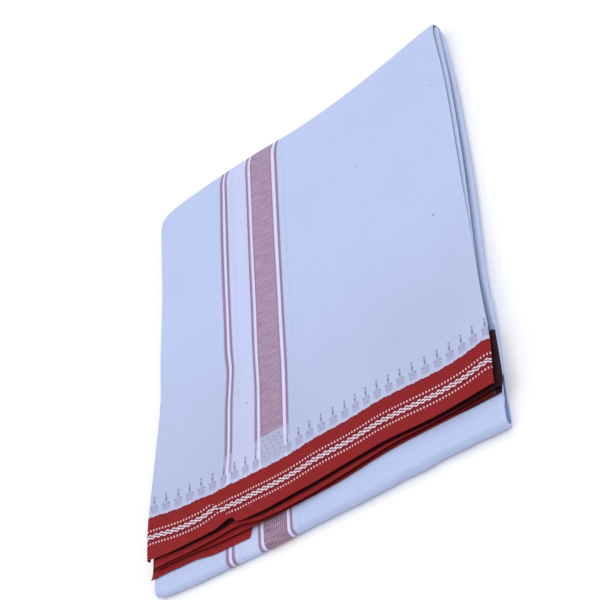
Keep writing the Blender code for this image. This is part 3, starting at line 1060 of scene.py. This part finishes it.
def border_rows(repeats, along):
    """The woven border, by repeats along it and millimetres from the selvedge."""
    tooth = unsigned(part_of(repeats, 7.0, 0.0))
    for count, middle, size in ((1.0, 0.5, 0.12), (2.6, 0.3, 0.25)):
        tooth = scaled(unsigned(part_of(repeats, count, middle)), size, tooth)
    edge = plus(tooth, along)

    slipped = scaled(soft_step(repeats, *SLIP_REPEATS), SLIP, repeats)
    level = less(along, CHAIN_ROW)
    above = unsigned(part_of(slipped, 2.0, 0.25))
    below = unsigned(part_of(slipped, 2.0, 0.77))
    over = less(level, scaled(soft_step(above, *LINK_ENDS), 0.95, 0.95))
    under = plus(level, scaled(soft_step(below, *LINK_ENDS), 0.85, 1.0))

    aside = part_of(repeats, 1.0, 0.0)
    away = unsigned(aside)
    block = times(soft_step(away, 2.9, 2.6), within(along, *TEMPLE_BLOCK, 0.8))
    spire = times(soft_step(away, 1.0, 0.65), within(along, *TEMPLE_SPIRE, 0.3))
    core = times(soft_step(away, 0.85, 0.35), near_line(along, TEMPLE_CORE, 1.1, 1.0))
    head = times(soft_step(away, 0.85, 0.45), near_line(along, TEMPLE_HEAD, 0.55, 0.3), 0.7)
    left_corner = temple_corner(aside, along, -2.2, 0.4)
    right_corner = temple_corner(aside, along, 1.95, 0.45)
    woven = soft_step(repeats, *LAST_TEMPLE)

    return {
        "Red": soft_step(edge, BORDER_EDGE + 1.1, BORDER_EDGE + 0.9),
        "Rim": near_line(edge, BORDER_EDGE + 0.4, 0.45, 0.5),
        "Glow": near_line(edge, BORDER_EDGE + 1.6, 0.35, 0.5),
        "Ground": within(along, *GROUND_ROWS, 0.6),
        "Dots": most(
            border_dots(slipped, along, UPPER_DOTS, 0.852),
            border_dots(slipped, along, LOWER_DOTS, 0.682),
        ),
        "Chain": times(soft_step(over, 0.15, -0.15), soft_step(under, -0.15, 0.15)),
        "Dashes": most(
            chain_dashes(slipped, level, 0.29, 0.47), chain_dashes(slipped, level, 0.73, -0.4)
        ),
        "Temple": times(most(block, spire), woven),
        "Temple dark": times(most(left_corner, right_corner, core, head), woven),
    }


BAND_FOOT = 50.9
TWILL_PITCH = 1.9
ROLL_TWILL_PITCH = 3.2
# Rows of tiny dots under the foot of the broad band, and how far each row is shifted
FOOT_DOTS = ((36.2, 0.0), (40.2, 0.35), (43.6, 0.8), (47.4, 0.2))
FOOT_DOTS_PITCH = 4.4
# Where the stripes start above the selvedge
FOOT_START = (29.0, 34.0)
LINES_START = (36.0, 37.5)
INNER_LINES_START = (42.4, 43.2)
LINES_LOW_END = (51.0, 49.0)
# Where the roll's cloth starts, counted on from the selvedge of the top leaf
ROLL_START = 1000.0


def on_roll(along):
    """One on the cloth of the roll."""
    return soft_step(along, ROLL_START - 300.0, ROLL_START - 250.0)


def twill(across, along, pitch):
    """The crossed diagonals of a twill."""
    turn = 2.0 * math.pi / pitch
    falling = times(less(along, across), turn)
    rising = times(plus(along, across), turn)
    return times(calc("SINE", falling), calc("SINE", rising))


def foot_dots(across, along, row, shift):
    """A row of tiny dots under the foot of the broad band."""
    turned = scaled(across, 1.0 / FOOT_DOTS_PITCH, shift)
    aside = distance(calc("FRACT", turned), 0.5)
    return times(soft_step(aside, 0.16, 0.09), near_line(along, row, 0.42, 0.3))


def lengthwise_stripes(across, along):
    """The lengthwise stripes: two lines, a third, the broad band and a fourth."""
    first, second, third, band_left, band_right, fourth = STRIPE_THREADS
    outer = most(*[near_line(across, line, 1.15, 0.4) for line in (first, second)])
    inner = most(*[near_line(across, line, 1.1, 0.35) for line in (third, fourth)])
    beside = (first - 1.5, second + 1.5, third + 1.5, fourth + 1.5)
    inside = within(across, band_left, band_right, 0.25)
    above = soft_step(along, BAND_FOOT - 0.5, BAND_FOOT + 0.5)
    below = times(inside, outside(above))
    edges = [near_line(across, line, 0.5, 0.5) for line in (band_left + 0.9, band_right - 0.9)]
    roll = on_roll(along)
    flat_twill = times(twill(across, along, TWILL_PITCH), outside(roll))
    dots = [foot_dots(across, along, row, shift) for row, shift in FOOT_DOTS]
    return {
        "Lines": most(outer, times(inner, soft_step(along, *INNER_LINES_START))),
        "Pink": most(*[near_line(across, line, 0.25, 0.4) for line in beside]),
        "Band": times(inside, above),
        "Band edge": times(most(*edges), above),
        "Twill": scaled(twill(across, along, ROLL_TWILL_PITCH), roll, flat_twill),
        "Pale": most(
            within(across, first + 0.9, second - 0.9, 0.3),
            within(across, third + 0.9, band_left, 0.3),
            within(across, band_right, fourth - 0.9, 0.3),
            times(within(across, second, third, 6.0), 0.35),
        ),
        "Shadow": most(
            times(near_line(across, second + 6.6, 2.0, 1.2), 0.6),
            near_line(across, fourth + 6.6, 0.8, 0.6),
        ),
        "Foot": times(below, soft_step(along, *FOOT_START)),
        "Foot dots": times(most(*dots), below),
    }


Mark = namedtuple("Mark", "x y size")
MARKS = table(
    Mark,
    (57.7, 79.7, 0.7),
    (111.0, 1.3, 0.9),
    (123.1, 106.4, 0.6),
    (-45.5, -57.5, 0.7),
)


def small_marks(right, back):
    """A few tiny soiled spots of the cloth, by the piece's own millimetres."""
    spots = []
    for mark in MARKS:
        aside = less(right, mark.x)
        off = less(back, mark.y + TABLE_SHIFT)
        squares = scaled(aside, aside, times(off, off))
        spots.append(soft_step(squares, 2.0 * mark.size**2, 0.2 * mark.size**2))
    return {"Marks": most(*spots)}


WHITE = (0.475, 0.558, 0.820, 1.0)
WHITE_NEAR_SHADE = (0.440, 0.498, 0.710, 1.0)
RED = (0.262, 0.0130, 0.0185, 1.0)
RED_BROWN = (0.240, 0.0155, 0.0150, 1.0)
RED_GROUND = (0.195, 0.0135, 0.0200, 1.0)
RED_RIM_AND_TUCK_SHADE = (0.13, 0.010, 0.022, 1.0)
# Painted shade on the red of the hidden leaves, at their right ends and deep in their slots
RED_PAINTED_SHADE = (0.022, 0.003, 0.006, 1.0)
EDGE_GLOW = (0.66, 0.45, 0.62, 1.0)
THREAD_WHITE = (0.78, 0.60, 0.72, 1.0)
THREAD_PINK = (0.80, 0.44, 0.47, 1.0)
THREAD_DARK = (0.018, 0.010, 0.045, 1.0)
LINE_MAUVE = (0.275, 0.200, 0.335, 1.0)
LINE_LOW = (0.38, 0.34, 0.53, 1.0)
LINE_PINK = (0.52, 0.36, 0.55, 1.0)
BAND_MAUVE = (0.300, 0.196, 0.318, 1.0)
BAND_EDGE = (0.29, 0.165, 0.29, 1.0)
BAND_LIGHT = (0.46, 0.35, 0.48, 1.0)
ROLL_BAND = (0.20, 0.105, 0.165, 1.0)
PALE = (0.65, 0.66, 0.90, 1.0)
SHADOW = (0.42, 0.49, 0.74, 1.0)
FOOT = (0.385, 0.395, 0.56, 1.0)
TEMPLE = (0.350, 0.352, 0.545, 1.0)
TEMPLE_DARK = (0.155, 0.15, 0.27, 1.0)
SOIL = (0.24, 0.24, 0.33, 1.0)
# Painted shade for the grooves of the layers and the right ends of the hidden leaves
GROOVE_SHADE = (0.19, 0.235, 0.34, 1.0)
GROOVE_DARKNESS = 0.85
FINISH = {
    "Roughness": 0.82,
    "Specular IOR Level": 0.12,
    "Sheen Weight": 0.02,
    "Sheen Roughness": 0.5,
}
THREAD_RELIEF = 0.16
THREAD_BUMP = 0.5
RAISED_CHAIN = 0.8


def matt_cotton(name):
    """A matt cotton material with a soft sheen."""
    material = bpy.data.materials.new(name)
    material.use_nodes = True
    shader = material.node_tree.nodes["Principled BSDF"]
    fill([shader.inputs[title] for title in FINISH], FINISH.values())
    return material


def weave_cloth(material, colour, weave, height):
    """Gives a cotton its colour under the shade of the weave, and the relief of its threads."""
    tree = material.node_tree
    shade = tree.nodes.new("ShaderNodeCombineColor")
    fill(shade.inputs, [weave["Shade"]] * 3)
    colour = mixed(1.0, colour, shade.outputs[0], "MULTIPLY")
    bump = tree.nodes.new("ShaderNodeBump")
    slots = [bump.inputs[title] for title in ("Strength", "Distance", "Height")]
    fill(slots, (THREAD_BUMP, THREAD_RELIEF * MM, height))
    shader = tree.nodes["Principled BSDF"]
    fill((shader.inputs["Base Color"], shader.inputs["Normal"]), (colour, bump.outputs["Normal"]))


def white_ground(across, along):
    """The white ground, with painted shade that makes it a little warmer and darker towards the
    border, patchy by noise.
    """
    warm = soft_step(noise(across, along, 0.011, 0.011, 1.0, 21.0), 0.42, 0.68)
    near = times(scaled(warm, 0.35, 0.65), soft_step(along, 170.0, 55.0))
    return mixed(near, WHITE, WHITE_NEAR_SHADE)


def red_ground(across, along, border):
    """The red of the border, clouded with brown and darker behind the chain."""
    cloud = soft_step(noise(across, along, 0.14, 0.14, 2.0, 5.0), 0.40, 0.62)
    return mixed(border["Ground"], mixed(cloud, RED, RED_BROWN), RED_GROUND)


def broad_band(threads, run, along, stripes):
    """The broad band: worn mauve twill, with coarse light dots on the roll."""
    worn = scaled(noise(threads, run, 0.10, 0.75, 3.0, 31.0), 2.0, -1.0)
    specks = soft_step(noise(threads, run, 0.75, 1.2, 1.0, 47.0), 0.58, 0.72)
    light = scaled(soft_step(along, 60.0, 150.0), 0.14, 0.24)
    light = scaled(stripes["Twill"], 0.22, light)
    light = calc("ADD", scaled(specks, 0.45, light), worn, clamp=True)
    raised = soft_step(scaled(worn, 1.5, stripes["Twill"]), -0.8, 1.1)
    flat = mixed(light, BAND_MAUVE, BAND_LIGHT)
    band = mixed(on_roll(along), flat, mixed(raised, ROLL_BAND, BAND_LIGHT))
    return mixed(times(stripes["Band edge"], 0.6), band, BAND_EDGE)


# Where painted shade darkens the right ends of the hidden leaves, in millimetres on the piece
END_FADING = (92.0, 126.0)
END_LIFTING = (96.0, 118.0)
END_TURNING = (129.5, 131.5)


def painted_end_shade(colour, right, along, side, border):
    """A hidden leaf's colour, darkened by painted shade at its curled right end, along its edge
    there and deep in its slot.
    """
    # Painted shade: fading in towards the right end, along the edge there, at the curled end and
    # deep in the slot
    fading = times(soft_step(right, *END_FADING), 0.3)
    lifted = times(soft_step(right, *END_LIFTING), 0.8, soft_step(along, 1.8, 0.9))
    end = times(soft_step(right, *END_TURNING), 0.985)
    deep = times(soft_step(side, -0.2, 0.7), 0.9)
    shaded = times(most(fading, end, deep, lifted), border["Red"])
    above = times(end, soft_step(along, 38.5, 37.5))
    return coated(
        colour,
        (times(end, GROOVE_DARKNESS), GROOVE_SHADE),
        (most(shaded, above), RED_PAINTED_SHADE),
    )


def bordered_cloth(name, groups, turned=False):
    """White cotton with the red border along its selvedge. With turned, a hidden leaf's gets
    painted shade.
    """
    material = matt_cotton(name)
    tree = material.node_tree
    across, from_right = map_place(tree, "cloth")
    side, from_left = map_place(tree, "tuck")
    threads, run = map_place(tree, "stripes")
    right, back = piece_place(tree, 2)
    beyond = soft_step(side, -0.05, 0.05)
    along = plus(times(from_right, beyond), times(from_left, outside(beyond)))

    weave = placed(groups["weave"], threads, run, THREAD_PITCH)
    border = placed(groups["border"], calc("DIVIDE", across, REPEAT), along)
    stripes = placed(groups["stripes"], threads, along)
    marks = placed(groups["marks"], right, back)

    lines = mixed(soft_step(along, *LINES_LOW_END), LINE_MAUVE, LINE_LOW)
    clear = outside(stripes["Foot"])
    rim_and_tuck_shade = times(border["Rim"], 0.8)
    # On the top leaf, the woven rim gets a dark line of painted shade along the fold of the tuck
    if not turned:
        rim_and_tuck_shade = most(rim_and_tuck_shade, times(near_line(side, 0.25, 0.2, 0.45), 0.55))
    colour = coated(
        white_ground(across, along),
        (stripes["Pale"], PALE),
        (times(stripes["Shadow"], 0.35), SHADOW),
        (stripes["Band"], broad_band(threads, run, along, stripes)),
        (times(stripes["Foot"], 0.7), FOOT),
        (times(stripes["Foot dots"], 0.8), TEMPLE_DARK),
        (times(stripes["Pink"], 0.6), LINE_PINK),
        (times(stripes["Lines"], soft_step(along, *LINES_START)), lines),
        (times(border["Temple"], clear, 0.8), TEMPLE),
        (times(border["Temple dark"], clear, 0.85), TEMPLE_DARK),
        (times(border["Glow"], 0.75), EDGE_GLOW),
        (border["Red"], red_ground(across, along, border)),
        (times(rim_and_tuck_shade, border["Red"]), RED_RIM_AND_TUCK_SHADE),
        (border["Dots"], THREAD_PINK),
        (border["Chain"], THREAD_WHITE),
        (border["Dashes"], THREAD_DARK),
    )
    # With turned, a hidden leaf gets painted shade at its right end and in its slot
    if turned:
        colour = painted_end_shade(colour, right, along, side, border)
    colour = mixed(times(marks["Marks"], 0.7), colour, SOIL)
    height = scaled(border["Chain"], RAISED_CHAIN, weave["Height"])
    weave_cloth(material, colour, weave, height)
    return material


def layered_cotton(name, groups, foot_hollow):
    """White cotton of the hidden layers.

    It has painted shade in the grooves, above each bundle and, with foot_hollow, under it."""
    material = matt_cotton(name)
    tree = material.node_tree
    side_height = map_place(tree, "height")[0]
    hollow = soft_step(side_height, 0.60, 0.92)
    if foot_hollow:
        hollow = most(hollow, soft_step(side_height, 0.32, 0.06))
    right, back, up = piece_place(tree, 3)
    weave = placed(groups["weave"], plus(right, up), back, THREAD_PITCH)
    colour = mixed(times(hollow, GROOVE_DARKNESS), WHITE, GROOVE_SHADE)
    weave_cloth(material, colour, weave, weave["Height"])
    return material


# Pieces


def slot_threads(*edges):
    """Thread places of a hidden leaf, with its depth in the slot behind the edges over it, which
    sets its painted shade.
    """

    def threads(place):
        across = REPEAT * smooth(TEMPLES, "count", place.x) + place.arc
        depths = [place.y - smooth(lip, "y", place.x) - inset for lip, inset in edges]
        return across, place.row, place.row, np.max(depths, axis=0), across

    return threads


ROLL_SHIFT = 6.4
ROLL_STRIPES_AT = -100.0
RIGHT_OF_TUCK = 50.0


def roll_threads(place):
    """Thread places of the leaf that forms the near roll."""
    start = np.full_like(place.x, ROLL_STRIPES_AT)
    across = panel_threads(place.x + ROLL_SHIFT, start) + place.arc
    along = ROLL_START + place.row
    return across, along, along, np.full_like(along, RIGHT_OF_TUCK), across


TUCK_SQUARES = (-57.0, -52.4, 12)


def top_leaf(material):
    """The top leaf, with smaller squares where the tuck ends at the lip."""
    at_tuck = [(x - TOP_LEFT) / (TOP_RIGHT - TOP_LEFT) for x in even(*TUCK_SQUARES)]
    columns = sorted(joined((-1.0, 0.0, 8), (0.0, 1.0, 168), (1.0, 2.0, 7)) + at_tuck)
    panel = joined((0.0, 0.2, 50), (0.2, 0.97, 130), (0.97, 1.0, 6))
    rows = panel[:-1] + joined((1.0, 2.0, 22), (2.0, 3.0, 2))
    return cloth_leaf("top_cloth", top_form, top_threads, columns, rows, material)


def roll_leaf(material):
    """The leaf under the stack, which comes up round the near fold."""
    columns = joined((-1.0, 0.0, 5), (0.0, 1.0, 150), (1.0, 2.0, 5))
    rows = joined((0.0, 0.96, 24), (0.96, 1.0, 6), (1.0, 2.0, 22), (2.0, 3.0, 18))
    return cloth_leaf("roll_cloth", under_form, roll_threads, columns, rows, material)


HIDDEN_COLUMNS = joined((-1.0, 0.0, 6), (0.0, 1.0, 150), (1.0, 2.0, 6))
HIDDEN_ROWS = joined((0.0, 0.12, 12), (0.12, 1.0, 20))


def second_leaf(material):
    """The bordered selvedge under the top leaf."""
    left, right = (-130.0, 45.0), (136.0, 100.0)
    form = border_form(SECOND_SELVEDGE, left, right, HIDDEN_END, 0.5, (0.0, -1.2))
    threads = slot_threads((TOP_LIP, -0.8))
    return cloth_leaf("second_border", form, threads, HIDDEN_COLUMNS, HIDDEN_ROWS, material)


def third_leaf(material):
    """The bordered selvedge under the second."""
    left, right = (-130.0, 25.0), (134.0, 60.0)
    form = border_form(THIRD_SELVEDGE, left, right, HIDDEN_END, 0.3, (0.0, -0.8))
    threads = slot_threads((TOP_LIP, 0.5), (SECOND_SELVEDGE, 1.0))
    return cloth_leaf("third_border", form, threads, HIDDEN_COLUMNS, HIDDEN_ROWS, material)


def end_leaf(material):
    """The short end of the lowest selvedge, at the left."""
    left, right = (-134.5, 25.0), (-51.5, 20.0)
    form = border_form(END_SELVEDGE, left, right, END_LEAF_END, 0.0, (-2.6, -2.6))
    threads = slot_threads((THIRD_SELVEDGE, 0.8))
    columns = joined((-1.0, 0.0, 6), (0.0, 1.0, 50), (1.0, 2.0, 6))
    return cloth_leaf("end_border", form, threads, columns, even(0.0, 1.0, 18), material)


groups = {
    "weave": shared_group("plain weave", plain_weave, "Across", "Along", "Pitch"),
    "border": shared_group("border rows", border_rows, "Repeats", "Along"),
    "stripes": shared_group("lengthwise stripes", lengthwise_stripes, "Across", "Along"),
    "marks": shared_group("small marks", small_marks, "Right", "Back"),
}
top_material = bordered_cloth("bordered cotton", groups)
hidden_material = bordered_cloth("hidden border", groups, turned=True)
upper_material = layered_cotton("upper layers", groups, foot_hollow=True)
lower_material = layered_cotton("lower layers", groups, foot_hollow=False)

top = top_leaf(top_material)
roll = roll_leaf(top_material)
second = second_leaf(hidden_material)
third = third_leaf(hidden_material)
end = end_leaf(hidden_material)
upper_rows = joined((0.0, 1.0, 130), (1.0, 2.0, 10))
upper = layered_bundle("upper_layers", upper_form, upper_rows, upper_material)
lower_rows = joined((0.0, 1.0, 160), (1.0, 2.0, 10))
lower = layered_bundle("lower_layers", lower_form, lower_rows, lower_material)

for piece, node, slot in (
    (upper, "folded_core", "white_cotton"),
    (lower, "folded_core", "white_cotton"),
    (top, "top_leaf", "white_cotton"),
    (roll, "roll_leaf", "white_cotton"),
    (second, "second_leaf", "red_border"),
    (third, "third_leaf", "red_border"),
    (end, "end_leaf", "red_border"),
):
    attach(piece, "root")
    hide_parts(node)

floor = studio_floor()
main_light()
studio_camera()
bpy.context.scene.view_settings.view_transform = "Standard"
